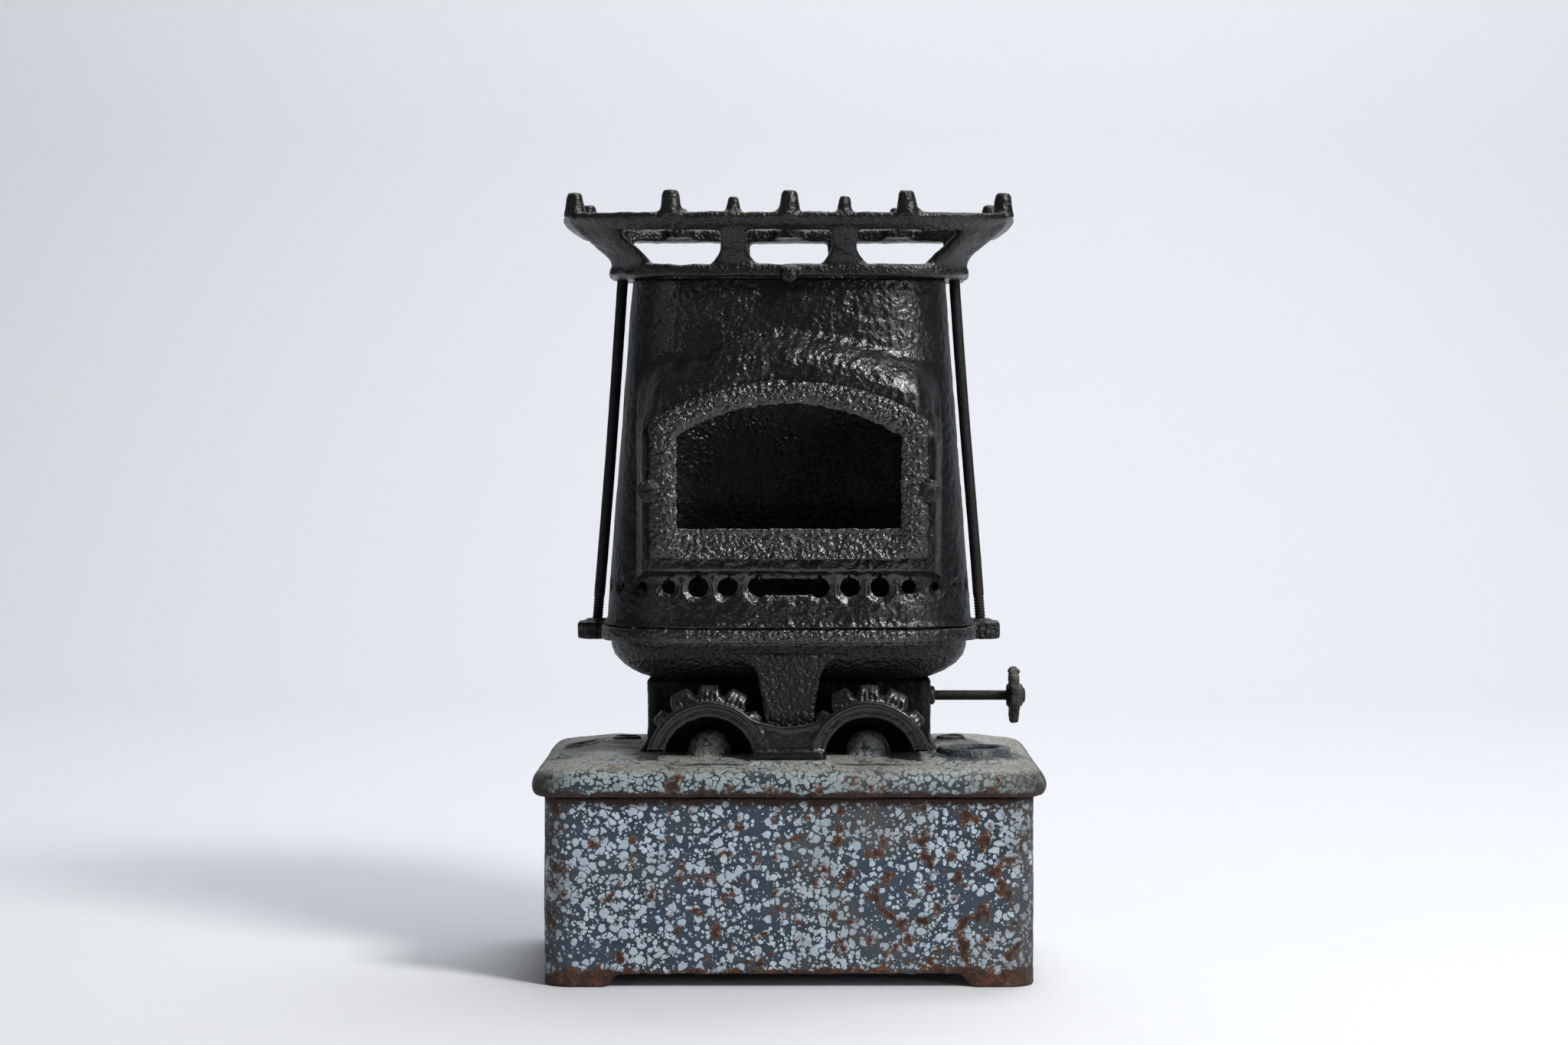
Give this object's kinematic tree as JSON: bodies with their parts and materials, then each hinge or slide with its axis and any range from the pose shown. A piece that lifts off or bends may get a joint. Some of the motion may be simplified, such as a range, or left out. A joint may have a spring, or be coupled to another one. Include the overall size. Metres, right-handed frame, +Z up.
{
  "type": "twin wick paraffin stove",
  "caption": "Old cast iron paraffin stove: rusty mottled enamel tank, arched burner bracket, tapered chimney with open window and a pegged pan trivet.",
  "frame": {"origin": "on the floor under the middle of the tank", "axes": "+Z up, +X to the winder wheel's side, -Y to the window"},
  "size_m": [0.215, 0.162, 0.331],
  "materials": {
    "enamelled_iron": "mottled blue-grey enamel, chipped and rusted",
    "black_iron": "black, pitted and glossy in places",
    "dark_steel": "blackened",
    "tarnished_brass": "blackened",
    "charred_cotton": "charred woven cotton"
  },
  "bodies": {
    "stove": {"tank": "enamelled_iron", "tank_lid": "enamelled_iron", "front_bracket": "black_iron", "burner_housing": "black_iron", "left_wick_tube": "dark_steel", "right_wick_tube": "dark_steel", "spindle_bush": "tarnished_brass", "rear_bracket": "black_iron", "rear_bracket_screws": "dark_steel", "hinge_pin": "dark_steel"},
    "chimney": {"chimney_base": "black_iron", "chimney_casing": "black_iron", "window_frame": "black_iron", "window_screws": "dark_steel", "trivet": "black_iron", "left_tie_rod": "dark_steel", "right_tie_rod": "dark_steel"},
    "winder": {"winder_spindle": "dark_steel", "winder_cogs": "dark_steel", "winder_wheel": "black_iron"},
    "left_wick": {"left_wick": "charred_cotton"},
    "right_wick": {"right_wick": "charred_cotton"}
  },
  "joints": [
    {"name": "chimney_tilt", "type": "hinge", "parent": "stove", "child": "chimney", "pos_m": [0, 0.066, 0.108], "axis": [-1, 0, 0], "range_deg": [0, 65]},
    {"name": "winder_turn", "type": "hinge", "parent": "stove", "child": "winder", "pos_m": [0, -0.01, 0.1165], "axis": [1, 0, 0], "range_deg": [-100, 30]},
    {"name": "left_wick_raise", "type": "slide", "parent": "stove", "child": "left_wick", "axis": [0, 0, 1], "range_m": [-0.013, 0.004]},
    {"name": "right_wick_raise", "type": "slide", "parent": "stove", "child": "right_wick", "axis": [0, 0, 1], "range_m": [-0.013, 0.004]}
  ],
  "couplings": [
    {"joint": "left_wick_raise", "follows": "winder_turn", "m_per_rad": 0.0074},
    {"joint": "right_wick_raise", "follows": "winder_turn", "m_per_rad": 0.0074}
  ]
}
